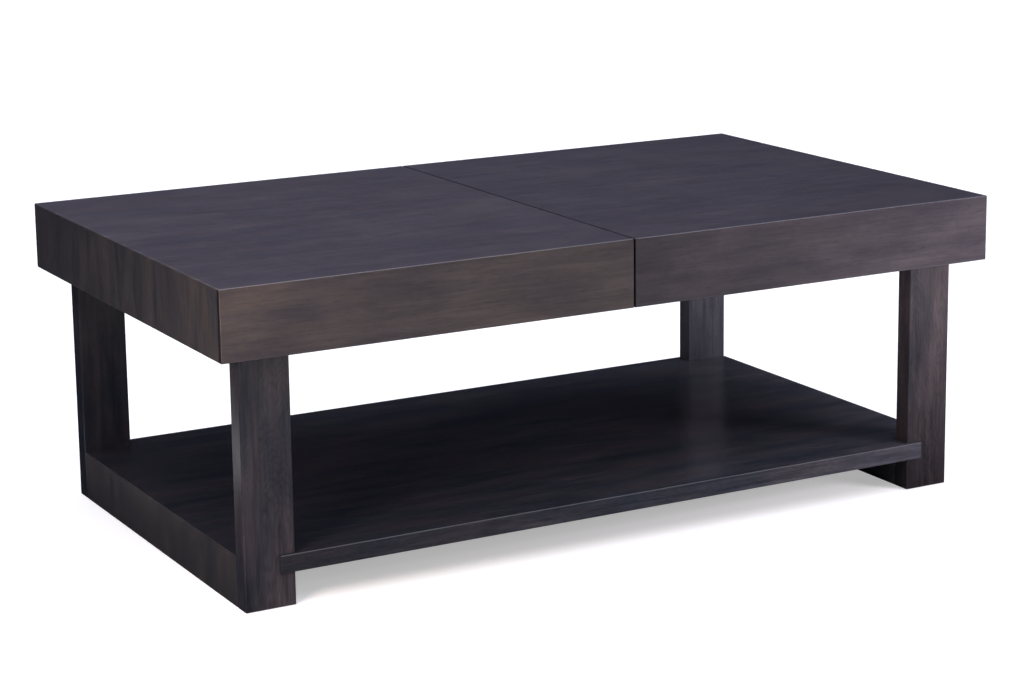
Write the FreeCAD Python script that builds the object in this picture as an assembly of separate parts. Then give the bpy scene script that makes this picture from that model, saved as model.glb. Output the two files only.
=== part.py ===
import FreeCAD, Part
import math
import os
from FreeCAD import Vector

# Lift top coffee table. Millimetres, +Z up, front towards -Y, origin on the floor under the middle.
# Two box-shaped top halves meet at x = 0. Each one rises and comes forward on its own pair of
# parallel-arm lifts, which stand in a shallow case that is bolted between the four legs.

# ---------------------------------------------------------------- driving dimensions
LENGTH = 1290.0              # over the two top halves
DEPTH = 750.0
HEIGHT = 470.0
BOX_HEIGHT = 102.0           # apron height, top face included
SEAM_GAP = 2.0               # between the two top halves
BOARD = 19.0                 # top panels, aprons and case rails
EASE = 2.0                   # rounding of the outer edges
GROOVE = 0.5                 # half width of the fine line along a mitred edge

LEG_INSET = 40.0             # leg faces in from the apron faces, at the ends and at the front
LEG_WIDTH = 76.0             # along X
LEG_DEPTH = 31.0             # along Y
GLIDE_HEIGHT = 1.0           # what a glide stands proud of the leg
GLIDE_RADIUS = 10.0
GLIDE_RECESS = 2.0

SHELF_TOP = 76.0
SHELF_THICKNESS = 26.0
SHELF_EASE = 1.0
SHELF_LIP = 5.0              # how far the shelf stands proud of the legs' faces
SHELF_TONGUE = 24.0          # how far the shelf is let into each leg
INNER_RAIL = 20.0
FIT = 0.3                    # clearance round the shelf's tongue and corners

CASE_TOP = 447.0
CASE_BASE = 370.0
CASE_FLOOR = 9.0             # bottom panel
CASE_FLOOR_BASE = 372.0
CASE_GROOVE = 6.0            # how far the bottom panel enters the rails
DIVIDER = 24.0
PAD_RADIUS = 6.0
PAD_X = (-500.0, -130.0, 130.0, 500.0)
PAD_GAP = 0.3                # between a pad and the closed top

ARM_LENGTH = 230.0           # pivot to pivot
ARM_RADIUS = 12.0            # half the arm's width
ARM_THICKNESS = 4.0          # front arm
REAR_ARM_THICKNESS = 3.4
LIFT_ANGLE = 130.0           # from closed to open
PIVOT_Y, PIVOT_Z = -185.0, 431.0
LINK_LENGTH, LINK_ANGLE = 70.0, -25.0
CRANK_LENGTH, CRANK_ANGLE = 30.0, -100.0
CRANK_THICKNESS = 3.0
CRANK_TIP = 7.0
PLATE = 3.0                  # base plate
WASHER = 1.0
BRACKET = 2.5                # top bracket
PIN_RADIUS = 4.0
RUNNING = 0.08               # radial clearance of a pivot
AXIAL_GAP = 0.3              # play beside an arm, a washer or a rivet head
OPEN_PIVOT = 0.3             # radial clearance of the pivot that closes the linkage
HEAD_RADIUS = 7.0
HEAD_HEIGHT = 2.4
TUBE_RADIUS, TUBE_WALL = 8.0, 1.5
TUBE_REACH = 70.0            # from the pivot along the arm

SPRING_RADIUS, SPRING_WIRE = 6.5, 0.9
SPRING_OFFSET = 19.0         # spring axis from the face that the base plate is screwed to
SPRING_ANCHOR_Y = 15.0
SPRING_ANCHOR_Z = 404.5
LOOP_RADIUS = 5.2
STUD_RADIUS = 3.0
STOP_RADIUS = 2.5            # stud that stops the open arm
STOP_ALONG = 22.0            # from the pivot along the open arm

SNUG = 0.05                  # clearance round a dowel, a screw, an insert or a fixed pin
BOLT_X = 557.0               # leg bolts, from the middle
BOLT_HEIGHTS = (393.0, 427.0)
BOLT_RADIUS, BOLT_HEAD, BOLT_HEAD_HEIGHT = 3.0, 5.0, 6.0
BOLT_WASHER, BOLT_WASHER_RADIUS = 1.5, 7.0
SOCKET_ACROSS, SOCKET_DEPTH = 5.0, 3.0
INSERT_RADIUS, INSERT_LENGTH = 5.0, 18.0
DOWEL_RADIUS, DOWEL_IN_LEG, DOWEL_IN_RAIL = 4.0, 18.0, 22.0
END_PANEL_DOWELS = (18.0, 44.0)              # heights
INNER_RAIL_DOWELS = (14.0, 37.0)
CASE_DOWEL_HEIGHTS = (398.0, 424.0)
CASE_DOWEL_DEPTH, CASE_DOWEL_REACH = 12.0, 25.0
GLUE_BLOCK = 18.0
SCREW_RADIUS, SCREW_LENGTH, INNER_SCREW_LENGTH = 2.0, 13.0, 9.0
COUNTERSINK = 4.0
PAN_HEAD, PAN_HEIGHT = 4.0, 2.2
BRACKET_SCREW_X = 31.0       # from the face that the base plate is screwed to
BRACKET_SCREW_Y = (32.0, 94.0, 156.0, 218.0)

# ---------------------------------------------------------------- derived places
END = LENGTH / 2
FRONT = DEPTH / 2
BOX_BASE = HEIGHT - BOX_HEIGHT
PANEL_BASE = HEIGHT - BOARD
LEG_X1 = END - LEG_INSET
LEG_X0 = LEG_X1 - LEG_WIDTH
LEG_Y1 = FRONT - LEG_INSET
LEG_Y0 = LEG_Y1 - LEG_DEPTH
SHELF_BASE = SHELF_TOP - SHELF_THICKNESS
CASE_X = LEG_X1 - BOARD      # inner face of the end rails
CASE_Y = LEG_Y0 - BOARD      # inner face of the long rails
CASE_FLOOR_TOP = CASE_FLOOR_BASE + CASE_FLOOR

link = math.radians(LINK_ANGLE)
crank = math.radians(CRANK_ANGLE)
FRONT_PIVOT = (PIVOT_Y, PIVOT_Z)
REAR_PIVOT = (PIVOT_Y + LINK_LENGTH * math.cos(link), PIVOT_Z + LINK_LENGTH * math.sin(link))
FRONT_TOP_PIVOT = (FRONT_PIVOT[0] + ARM_LENGTH, FRONT_PIVOT[1])
REAR_TOP_PIVOT = (REAR_PIVOT[0] + ARM_LENGTH, REAR_PIVOT[1])
CRANK_END = (PIVOT_Y + CRANK_LENGTH * math.cos(crank), PIVOT_Z + CRANK_LENGTH * math.sin(crank))

ARM_X0 = PLATE + WASHER
ARM_X1 = ARM_X0 + ARM_THICKNESS
REAR_ARM_X1 = ARM_X0 + REAR_ARM_THICKNESS
CRANK_X1 = ARM_X1 + CRANK_THICKNESS
BRACKET_X0 = ARM_X1 + 0.5
BRACKET_X1 = BRACKET_X0 + BRACKET
BRACKET_Y0, BRACKET_Y1 = 15.0, 235.0
BRACKET_WIDTH = 45.0
PLATE_Y0, PLATE_Y1 = PIVOT_Y - 43.0, 40.0
PLATE_TOP = CASE_TOP - 1.0
FLANGE_WIDTH = 30.0
PLATE_SCREWS = (             # in Y and Z
    (PLATE_Y0 + 14.0, CASE_FLOOR_TOP + 18.0),
    (PLATE_Y0 + 75.0, CASE_FLOOR_TOP + 14.0),
    (PLATE_Y0 + 170.0, CASE_FLOOR_TOP + 50.0),
    (PLATE_Y1 - 14.0, CASE_FLOOR_TOP + 18.0),
)

# The four lift units: the face that each one is screwed to, and the way that it faces along X.
UNITS = {
    "left_outer": (-CASE_X, 1),
    "left_inner": (-DIVIDER / 2, -1),
    "right_inner": (DIVIDER / 2, 1),
    "right_outer": (CASE_X, -1),
}


# ---------------------------------------------------------------- small helpers
def block(x0, x1, y0, y1, z0, z1):
    return Part.makeBox(x1 - x0, y1 - y0, z1 - z0, Vector(x0, y0, z0))


def rod(axis, x, y, z, radius, length):
    """A cylinder that starts at x, y, z and runs along the given axis."""
    return Part.makeCylinder(radius, length, Vector(x, y, z), axis)


ALONG_X, ALONG_Y, ALONG_Z = Vector(1, 0, 0), Vector(0, 1, 0), Vector(0, 0, 1)


def prism(points, thickness):
    """A plate with its outline in the YZ plane, from x = 0 to x = thickness."""
    outline = Part.makePolygon([Vector(0, y, z) for y, z in points + points[:1]])
    return Part.Face(outline).extrude(ALONG_X * thickness)


def link_plate(start, end, start_radius, end_radius, thickness):
    """A flat link in the YZ plane: two round ends joined by their outer tangents."""
    dy, dz = end[0] - start[0], end[1] - start[1]
    heading = math.atan2(dz, dy)
    spread = math.acos((start_radius - end_radius) / math.hypot(dy, dz))

    def on_circle(centre, radius, angle):
        return Vector(0, centre[0] + radius * math.cos(angle), centre[1] + radius * math.sin(angle))

    a = on_circle(start, start_radius, heading + spread)
    b = on_circle(end, end_radius, heading + spread)
    c = on_circle(end, end_radius, heading - spread)
    d = on_circle(start, start_radius, heading - spread)
    edges = [
        Part.LineSegment(a, b).toShape(),
        Part.Arc(b, on_circle(end, end_radius, heading), c).toShape(),
        Part.LineSegment(c, d).toShape(),
        Part.Arc(d, on_circle(start, start_radius, heading + math.pi), a).toShape(),
    ]
    return Part.Face(Part.Wire(edges)).extrude(ALONG_X * thickness)


def moved(shape, x, y=0.0, z=0.0):
    copy = shape.copy()
    copy.translate(Vector(x, y, z))
    return copy


def mirrored_x(shape):
    return shape.mirror(Vector(0, 0, 0), ALONG_X)


def mirrored_y(shape):
    return shape.mirror(Vector(0, 0, 0), ALONG_Y)


def four_corners(shape):
    """The shape, which lies where x and y are negative, at all four corners."""
    left = [shape, mirrored_y(shape)]
    return left + [mirrored_x(s) for s in left]


def rounded(shape, radius, chosen):
    """Rounds the straight edges whose middle point the test picks."""
    edges = [e for e in shape.Edges if chosen(e.CenterOfMass)]
    return shape.makeFillet(radius, edges)


def near(a, b):
    return abs(a - b) < 0.01


def save(name, *shapes):
    solids = [s for shape in shapes for s in shape.Solids]
    whole = solids[0] if len(solids) == 1 else Part.makeCompound(solids)
    if not whole.isValid() or min(s.Volume for s in solids) <= 0:
        raise ValueError(name + " is not a sound solid")
    whole.exportStep("parts/" + name + ".step")


# ---------------------------------------------------------------- legs and glides
def glide():
    x = -(LEG_X0 + LEG_X1) / 2
    y = -(LEG_Y0 + LEG_Y1) / 2
    disc = rod(ALONG_Z, x, y, 0, GLIDE_RADIUS, GLIDE_HEIGHT + GLIDE_RECESS)
    return disc.makeChamfer(0.6, [e for e in disc.Edges if near(e.CenterOfMass.z, 0)])


def lower_dowel_places():
    panel_x = -(LEG_X1 - SHELF_THICKNESS / 2)
    rail_x = -(LEG_X0 + INNER_RAIL / 2)
    places = [(panel_x, z) for z in END_PANEL_DOWELS]
    return places + [(rail_x, z) for z in INNER_RAIL_DOWELS]


def leg():
    """The front left leg: a flat post, notched for the shelf, with a fine easing on its long edges."""
    post = block(-LEG_X1, -LEG_X0, -LEG_Y1, -LEG_Y0, GLIDE_HEIGHT, CASE_TOP)
    middle = (GLIDE_HEIGHT + CASE_TOP) / 2
    post = rounded(post, EASE, lambda c: near(c.z, middle))
    notch = block(-LEG_X0 - SHELF_TONGUE - FIT, -LEG_X0 + 1, -LEG_Y1 - 1, -LEG_Y0 + 1,
                  SHELF_BASE - FIT, SHELF_TOP + FIT)
    post = post.cut(notch)
    recess = rod(ALONG_Z, -(LEG_X0 + LEG_X1) / 2, -(LEG_Y0 + LEG_Y1) / 2, 0,
                 GLIDE_RADIUS + 0.1, GLIDE_HEIGHT + GLIDE_RECESS)
    post = post.cut(recess)
    for z in BOLT_HEIGHTS:
        start = -LEG_Y0 - INSERT_LENGTH - 2
        post = post.cut(rod(ALONG_Y, -BOLT_X, start, z, INSERT_RADIUS, INSERT_LENGTH + 3))
    for x, z in lower_dowel_places():
        start = -LEG_Y0 - DOWEL_IN_LEG - 1
        post = post.cut(rod(ALONG_Y, x, start, z, DOWEL_RADIUS + SNUG, DOWEL_IN_LEG + 2))
    return post


def leg_fasteners():
    """Bolts, washers and threaded inserts of the front left leg."""
    bolts, washers, inserts = [], [], []
    for z in BOLT_HEIGHTS:
        washer = rod(ALONG_Y, -BOLT_X, -CASE_Y, z, BOLT_WASHER_RADIUS, BOLT_WASHER)
        hole = rod(ALONG_Y, -BOLT_X, -CASE_Y, z, BOLT_RADIUS + 0.2, BOLT_WASHER)
        washers.append(washer.cut(hole))
        seat = -CASE_Y + BOLT_WASHER
        tip = -LEG_Y0 - INSERT_LENGTH + 1
        shank = rod(ALONG_Y, -BOLT_X, tip, z, BOLT_RADIUS, seat - tip)
        head = rod(ALONG_Y, -BOLT_X, seat, z, BOLT_HEAD, BOLT_HEAD_HEIGHT)
        socket = hexagon_socket(-BOLT_X, seat + BOLT_HEAD_HEIGHT, z)
        bolts.append(shank.fuse(head).removeSplitter().cut(socket))
        start = -LEG_Y0 - INSERT_LENGTH
        tube = rod(ALONG_Y, -BOLT_X, start, z, INSERT_RADIUS - SNUG, INSERT_LENGTH)
        bore = rod(ALONG_Y, -BOLT_X, start, z, BOLT_RADIUS + SNUG, INSERT_LENGTH)
        inserts.append(tube.cut(bore))
    return bolts, washers, inserts


def hexagon_socket(x, y, z):
    corner = SOCKET_ACROSS / math.sqrt(3)
    turns = [math.radians(60 * k) for k in range(7)]
    points = [Vector(x + corner * math.cos(t), y, z + corner * math.sin(t)) for t in turns]
    return Part.Face(Part.makePolygon(points)).extrude(ALONG_Y * -SOCKET_DEPTH)


# ---------------------------------------------------------------- lower shelf
def shelf():
    """The shelf runs to the outer ends, is cut round the legs, and is let into each by a tongue."""
    body = block(-LEG_X1, LEG_X1, -LEG_Y0 + FIT, LEG_Y0 - FIT, SHELF_BASE, SHELF_TOP)
    reach = LEG_X0 + SHELF_TONGUE
    lip = LEG_Y1 + SHELF_LIP
    body = body.fuse(block(-reach, reach, -lip, lip, SHELF_BASE, SHELF_TOP)).removeSplitter()

    def eased(c):
        upper = near(c.z, SHELF_TOP) and not near(abs(c.x), LEG_X1)
        return upper or near(c.z, SHELF_BASE) and near(abs(c.y), lip)

    body = body.makeChamfer(SHELF_EASE, [e for e in body.Edges if eased(e.CenterOfMass)])
    for side in (-1, 1):
        body = body.cut(end_wedge(side))
    return body


def end_wedge(side):
    """The corner below the shelf's mitre, from the outer arris down to the underside."""
    outer, inner = LEG_X1 * side, (LEG_X1 - SHELF_THICKNESS) * side
    points = [Vector(outer, -LEG_Y1 - 10, SHELF_TOP), Vector(inner, -LEG_Y1 - 10, SHELF_BASE),
              Vector(outer, -LEG_Y1 - 10, SHELF_BASE)]
    return Part.Face(Part.makePolygon(points + points[:1])).extrude(ALONG_Y * (2 * LEG_Y1 + 20))


def shelf_end_panel():
    """The left waterfall end, mitred to the shelf, from leg to leg down to the floor line."""
    outer, inner = -LEG_X1, -LEG_X1 + SHELF_THICKNESS
    points = [Vector(outer, -LEG_Y0, SHELF_TOP), Vector(inner, -LEG_Y0, SHELF_BASE),
              Vector(inner, -LEG_Y0, GLIDE_HEIGHT), Vector(outer, -LEG_Y0, GLIDE_HEIGHT)]
    panel = Part.Face(Part.makePolygon(points + points[:1])).extrude(ALONG_Y * (2 * LEG_Y0))
    panel = panel.cut(mitre_line(ALONG_Y, outer, -LEG_Y0, SHELF_TOP, 2 * LEG_Y0))
    return drilled_for_dowels(panel, -(LEG_X1 - SHELF_THICKNESS / 2), END_PANEL_DOWELS)


def shelf_inner_rail():
    rail = block(-LEG_X0 - INNER_RAIL, -LEG_X0, -LEG_Y0, LEG_Y0, GLIDE_HEIGHT, SHELF_BASE)
    return drilled_for_dowels(rail, -(LEG_X0 + INNER_RAIL / 2), INNER_RAIL_DOWELS)


def drilled_for_dowels(board, x, heights):
    for z in heights:
        hole = rod(ALONG_Y, x, -LEG_Y0 - 1, z, DOWEL_RADIUS + SNUG, DOWEL_IN_RAIL + 2)
        board = board.cut(hole).cut(mirrored_y(hole))
    return board


def mitre_line(axis, x, y, z, length):
    """A fine square rod laid along a mitred edge, which leaves a hairline groove."""
    side = GROOVE * math.sqrt(2)
    if axis is ALONG_Y:
        bar = Part.makeBox(side, length, side, Vector(-side / 2, 0, -side / 2))
    else:
        bar = Part.makeBox(side, side, length, Vector(-side / 2, -side / 2, 0))
    return moved(bar, x, y, z)


# ---------------------------------------------------------------- case
def case_long_rail():
    """The front rail: behind the legs, full length, grooved for the bottom panel."""
    rail = block(-LEG_X1, LEG_X1, -LEG_Y0, -CASE_Y, CASE_BASE, CASE_TOP)
    rail = rail.cut(case_floor())
    for side in (-1, 1):
        for z in BOLT_HEIGHTS:
            rail = rail.cut(rod(ALONG_Y, side * BOLT_X, -LEG_Y0 - 1, z, BOLT_RADIUS + 0.2, BOARD + 2))
        for z in CASE_DOWEL_HEIGHTS:
            rail = rail.cut(case_dowel(side, z, SNUG, 0.5))
    return rail


def case_end_rail():
    rail = block(-LEG_X1, -CASE_X, -CASE_Y, CASE_Y, CASE_BASE, CASE_TOP).cut(case_floor())
    for z in CASE_DOWEL_HEIGHTS:
        hole = case_dowel(-1, z, SNUG, 0.5)
        rail = rail.cut(hole).cut(mirrored_y(hole))
    for x, y, z in plate_screw_places("left_outer"):
        start = x - SCREW_LENGTH - 0.5
        rail = rail.cut(rod(ALONG_X, start, y, z, SCREW_RADIUS + SNUG, SCREW_LENGTH + 2))
    return rail


def case_dowel(side, z, slack=0.0, extra=0.0):
    start = -CASE_Y - CASE_DOWEL_DEPTH - extra
    length = CASE_DOWEL_DEPTH + CASE_DOWEL_REACH + 2 * extra
    return rod(ALONG_Y, side * (LEG_X1 - BOARD / 2), start, z, DOWEL_RADIUS + slack, length)


def case_floor():
    x, y = CASE_X + CASE_GROOVE, CASE_Y + CASE_GROOVE
    return block(-x, x, -y, y, CASE_FLOOR_BASE, CASE_FLOOR_TOP)


def case_divider():
    board = block(-DIVIDER / 2, DIVIDER / 2, -CASE_Y, CASE_Y, CASE_FLOOR_TOP, CASE_TOP)
    for unit in ("left_inner", "right_inner"):
        for x, y, z in plate_screw_places(unit):
            start = x - 1 if x < 0 else x - INNER_SCREW_LENGTH - 0.5
            board = board.cut(rod(ALONG_X, start, y, z, SCREW_RADIUS + SNUG, INNER_SCREW_LENGTH + 1.5))
    return board


def rest_pads():
    """Soft pads on the case's long rails, four under each top half."""
    top = PANEL_BASE - PAD_GAP
    y = (LEG_Y0 + CASE_Y) / 2
    pads = []
    for x in PAD_X:
        for side in (-1, 1):
            pad = rod(ALONG_Z, x, side * y, CASE_TOP, PAD_RADIUS, top - CASE_TOP)
            upper = [e for e in pad.Edges if near(e.CenterOfMass.z, top)]
            pads.append(pad.makeChamfer(0.8, upper))
    return pads


# ---------------------------------------------------------------- top halves
def top_half():
    """The left half as one hollow box, open below and at the seam, with eased outer edges."""
    seam = -SEAM_GAP / 2
    outer = block(-END, seam, -FRONT, FRONT, BOX_BASE, HEIGHT)
    middle_x, middle_z = (-END + seam) / 2, (BOX_BASE + HEIGHT) / 2

    def main_edge(c):
        upright = near(c.z, middle_z) and near(c.x, -END)
        upper = near(c.z, HEIGHT) and (near(c.x, -END) or near(c.x, middle_x))
        return upright or upper

    outer = rounded(outer, EASE, main_edge)
    outer = outer.makeChamfer(0.7, [e for e in outer.Edges if near(e.CenterOfMass.x, seam)])
    lower = [e for e in outer.Edges if near(e.CenterOfMass.z, BOX_BASE) and e.CenterOfMass.x < seam - 1]
    outer = outer.makeChamfer(1.0, lower)
    hollow = block(-END + BOARD, 0, -FRONT + BOARD, FRONT - BOARD, BOX_BASE - 1, PANEL_BASE)
    return outer.cut(hollow)


def frustum():
    """The space of the top panel: full size at the top face, one board smaller all round below it."""
    def outline(inset, z):
        x0, y = -END + inset, FRONT - inset
        corners = [(x0, -y), (0, -y), (0, y), (x0, y)]
        return Part.makePolygon([Vector(a, b, z) for a, b in corners + corners[:1]])
    return Part.makeLoft([outline(0, HEIGHT), outline(BOARD, PANEL_BASE)], True, True)


def plan_prism(points):
    wire = Part.makePolygon([Vector(x, y, BOX_BASE - 5) for x, y in points + points[:1]])
    return Part.Face(wire).extrude(ALONG_Z * (BOX_HEIGHT + 10))


def top_boards():
    """Panel, front, back and end of the left half, mitred to each other."""
    half = top_half()
    for side in (-1, 1):
        half = half.cut(mitre_line(ALONG_Z, -END + 0.6, side * (FRONT - 0.6), BOX_BASE - 1, BOX_HEIGHT))
    half = half.cut(mitre_line(ALONG_Y, -END + 0.6, -FRONT, HEIGHT - 0.6, DEPTH))
    upper = frustum()
    panel = half.common(upper)
    walls = half.cut(upper)
    inset_x, inset_y = -END + 30.0, FRONT - 30.0
    front_zone = plan_prism([(-END, -FRONT), (0, -FRONT), (0, -inset_y), (inset_x, -inset_y)])
    end_zone = plan_prism([(-END, -FRONT), (inset_x, -inset_y), (inset_x, inset_y), (-END, FRONT)])
    front = walls.common(front_zone)
    back = walls.common(mirrored_y(front_zone))
    end = walls.common(end_zone)
    for x, y in bracket_screw_places():
        panel = panel.cut(rod(ALONG_Z, x, y, PANEL_BASE - 1, SCREW_RADIUS + SNUG, SCREW_LENGTH + 1.5))
    return panel, front, back, end


def corner_blocks():
    """Two three-cornered glue blocks in the upright mitres of the left half."""
    x, y = -END + BOARD, -FRONT + BOARD
    points = [(x, y), (x + GLUE_BLOCK, y), (x, y + GLUE_BLOCK)]
    wire = Part.makePolygon([Vector(a, b, BOX_BASE + 12) for a, b in points + points[:1]])
    piece = Part.Face(wire).extrude(ALONG_Z * (PANEL_BASE - BOX_BASE - 12))
    return [piece, mirrored_y(piece)]


# ---------------------------------------------------------------- lift units, facing +X from x = 0
def placed(shape, unit):
    face, way = UNITS[unit]
    return moved(shape if way > 0 else mirrored_x(shape), face)


def pin_hole(place, slack, radius=PIN_RADIUS):
    return rod(ALONG_X, -1, place[0], place[1], radius + slack, 30)


def base_plate():
    """An angle: an upright plate with both lower pivots, and a foot with the spring's anchor ear."""
    plate = block(0, PLATE, PLATE_Y0, PLATE_Y1, CASE_FLOOR_TOP, PLATE_TOP)
    plate = rounded(plate, 12.0, lambda c: near(c.z, PLATE_TOP) and near(c.x, PLATE / 2))
    foot = block(0, FLANGE_WIDTH, PLATE_Y0 + 10, PLATE_Y1 - 5, CASE_FLOOR_TOP, CASE_FLOOR_TOP + PLATE)
    ear_top = SPRING_ANCHOR_Z + 2.6
    ear = block(SPRING_OFFSET - 7, SPRING_OFFSET + 7, SPRING_ANCHOR_Y - 1.5, SPRING_ANCHOR_Y + 1.5,
                CASE_FLOOR_TOP, ear_top)
    ear = rounded(ear, 5.0, lambda c: near(c.z, ear_top) and near(c.y, SPRING_ANCHOR_Y))
    plate = plate.fuse([foot, ear]).removeSplitter()
    eye = rod(ALONG_Y, SPRING_OFFSET, SPRING_ANCHOR_Y - 5, SPRING_ANCHOR_Z - LOOP_RADIUS, 2.2, 10)
    plate = plate.cut(eye)
    for place in (FRONT_PIVOT, REAR_PIVOT):
        plate = plate.cut(pin_hole(place, SNUG))
    plate = plate.cut(pin_hole(stop_place(), SNUG, STOP_RADIUS))
    for y, z in PLATE_SCREWS:
        plate = plate.cut(rod(ALONG_X, -1, y, z, SCREW_RADIUS + 0.1, PLATE + 2))
        sink = Part.makeCone(SCREW_RADIUS, COUNTERSINK + 0.1, PLATE - 1, Vector(1, y, z), ALONG_X)
        plate = plate.cut(sink)
    return plate


def plate_screws(unit):
    """Countersunk screws with their cross-slotted heads level with the plate's face."""
    length = SCREW_LENGTH if unit.endswith("outer") else INNER_SCREW_LENGTH
    screws = []
    for y, z in PLATE_SCREWS:
        shank = rod(ALONG_X, -length, y, z, SCREW_RADIUS, length + 1)
        head = Part.makeCone(SCREW_RADIUS, COUNTERSINK, PLATE - 1, Vector(1, y, z), ALONG_X)
        slot = block(PLATE - 0.9, PLATE + 1, y - 2.6, y + 2.6, z - 0.5, z + 0.5)
        cross = block(PLATE - 0.9, PLATE + 1, y - 0.5, y + 0.5, z - 2.6, z + 2.6)
        screw = shank.fuse(head).removeSplitter().cut(slot).cut(cross)
        screws.append(placed(screw, unit))
    return screws


def plate_screw_places(unit):
    face = UNITS[unit][0]
    return [(face, y, z) for y, z in PLATE_SCREWS]


def stop_place():
    """Centre of the stud that the front arm's edge meets when the top is fully open."""
    angle = math.radians(LIFT_ANGLE)
    off = ARM_RADIUS + STOP_RADIUS + AXIAL_GAP
    y = PIVOT_Y + STOP_ALONG * math.cos(angle) - off * math.sin(angle)
    z = PIVOT_Z + STOP_ALONG * math.sin(angle) + off * math.cos(angle)
    return (y, z)


def stop_stud():
    y, z = stop_place()
    return rod(ALONG_X, 0, y, z, STOP_RADIUS, ARM_X1)


def base_rivets():
    """Both lower pivot pins, fixed in the plate, with a head past the crank or the arm."""
    rivets = []
    for place, face in ((FRONT_PIVOT, CRANK_X1), (REAR_PIVOT, REAR_ARM_X1)):
        head_x = face + AXIAL_GAP
        pin = rod(ALONG_X, 0, place[0], place[1], PIN_RADIUS, head_x + 0.5)
        rivets.append(pin.fuse(rivet_head(place, head_x)).removeSplitter())
    return rivets


def rivet_head(place, x, way=1):
    head = rod(ALONG_X * way, x, place[0], place[1], HEAD_RADIUS, HEAD_HEIGHT)
    far = x + way * HEAD_HEIGHT
    return head.makeFillet(1.2, [e for e in head.Edges if near(e.CenterOfMass.x, far)])


def base_washers():
    washers = []
    for place in (FRONT_PIVOT, REAR_PIVOT):
        ring = rod(ALONG_X, PLATE, place[0], place[1], HEAD_RADIUS + 1, WASHER - AXIAL_GAP)
        washers.append(ring.cut(pin_hole(place, 2 * SNUG)))
    return washers


def front_arm():
    """The front arm with its welded crank and the spring's stud."""
    arm = link_plate(FRONT_PIVOT, FRONT_TOP_PIVOT, ARM_RADIUS, ARM_RADIUS, ARM_THICKNESS)
    arm = moved(arm, ARM_X0)
    lever = moved(link_plate(FRONT_PIVOT, CRANK_END, ARM_RADIUS, CRANK_TIP, CRANK_THICKNESS), ARM_X1)
    stud = rod(ALONG_X, ARM_X1, CRANK_END[0], CRANK_END[1], STUD_RADIUS, SPRING_OFFSET + 3 - ARM_X1)
    cap = rod(ALONG_X, SPRING_OFFSET + 3, CRANK_END[0], CRANK_END[1], STUD_RADIUS + 1.6, 2)
    arm = arm.fuse([lever, stud, cap]).removeSplitter()
    return arm.cut(pin_hole(FRONT_PIVOT, RUNNING)).cut(pin_hole(FRONT_TOP_PIVOT, SNUG))


def rear_arm():
    arm = link_plate(REAR_PIVOT, REAR_TOP_PIVOT, ARM_RADIUS, ARM_RADIUS, REAR_ARM_THICKNESS)
    arm = moved(arm, ARM_X0)
    return arm.cut(pin_hole(REAR_PIVOT, RUNNING)).cut(pin_hole(REAR_TOP_PIVOT, OPEN_PIVOT))


def front_top_rivet():
    """Fixed in the front arm, turns in the top bracket."""
    y, z = FRONT_TOP_PIVOT
    pin = rod(ALONG_X, ARM_X0, y, z, PIN_RADIUS, BRACKET_X1 + 0.6 - ARM_X0)
    return pin.fuse(rivet_head(FRONT_TOP_PIVOT, BRACKET_X1 + AXIAL_GAP)).removeSplitter()


def rear_top_rivet():
    """Fixed in the top bracket, turns in the rear arm: the pivot that closes the linkage."""
    start = ARM_X0 - AXIAL_GAP
    y, z = REAR_TOP_PIVOT
    pin = rod(ALONG_X, start - 0.5, y, z, PIN_RADIUS, BRACKET_X1 + 0.5 - start)
    return pin.fuse(rivet_head(REAR_TOP_PIVOT, start, -1)).removeSplitter()


def top_bracket():
    """An angle: a shaped web with both upper pivots, and a flange screwed under the panel."""
    fy, fz = FRONT_TOP_PIVOT
    ry, rz = REAR_TOP_PIVOT
    edge = ARM_RADIUS + 1
    web = prism([(BRACKET_Y0, PANEL_BASE), (BRACKET_Y1, PANEL_BASE), (BRACKET_Y1, PANEL_BASE - 9),
                 (ry + edge * 0.94, rz + edge * 0.34), (ry - edge * 0.42, rz - edge * 0.91),
                 (fy - edge * 0.42, fz - edge * 0.91), (BRACKET_Y0, PANEL_BASE - 9)], BRACKET)
    web = web.fuse([rod(ALONG_X, 0, fy, fz, edge, BRACKET), rod(ALONG_X, 0, ry, rz, edge, BRACKET)])
    flange = block(0, BRACKET_WIDTH - BRACKET_X0, BRACKET_Y0, BRACKET_Y1, PANEL_BASE - BRACKET, PANEL_BASE)
    bracket = moved(web.fuse(flange).removeSplitter(), BRACKET_X0)
    bracket = bracket.cut(pin_hole(FRONT_TOP_PIVOT, RUNNING)).cut(pin_hole(REAR_TOP_PIVOT, SNUG))
    for y in BRACKET_SCREW_Y:
        bracket = bracket.cut(rod(ALONG_Z, BRACKET_SCREW_X, y, PANEL_BASE - 5, SCREW_RADIUS + 0.2, 10))
    return bracket


def bracket_screw():
    low = PANEL_BASE - BRACKET - PAN_HEIGHT
    shank = rod(ALONG_Z, 0, 0, low + PAN_HEIGHT, SCREW_RADIUS, BRACKET + SCREW_LENGTH)
    head = rod(ALONG_Z, 0, 0, low, PAN_HEAD, PAN_HEIGHT)
    head = head.makeFillet(1.4, [e for e in head.Edges if near(e.CenterOfMass.z, low)])
    slot = block(-2.2, 2.2, -0.5, 0.5, low - 1, low + 1)
    cross = block(-0.5, 0.5, -2.2, 2.2, low - 1, low + 1)
    return shank.fuse(head).removeSplitter().cut(slot).cut(cross)


def bracket_screw_places():
    """Where the screws of the left half's two brackets stand, in plan."""
    places = []
    for unit in ("left_outer", "left_inner"):
        face, way = UNITS[unit]
        places += [(face + way * BRACKET_SCREW_X, y) for y in BRACKET_SCREW_Y]
    return places


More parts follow.
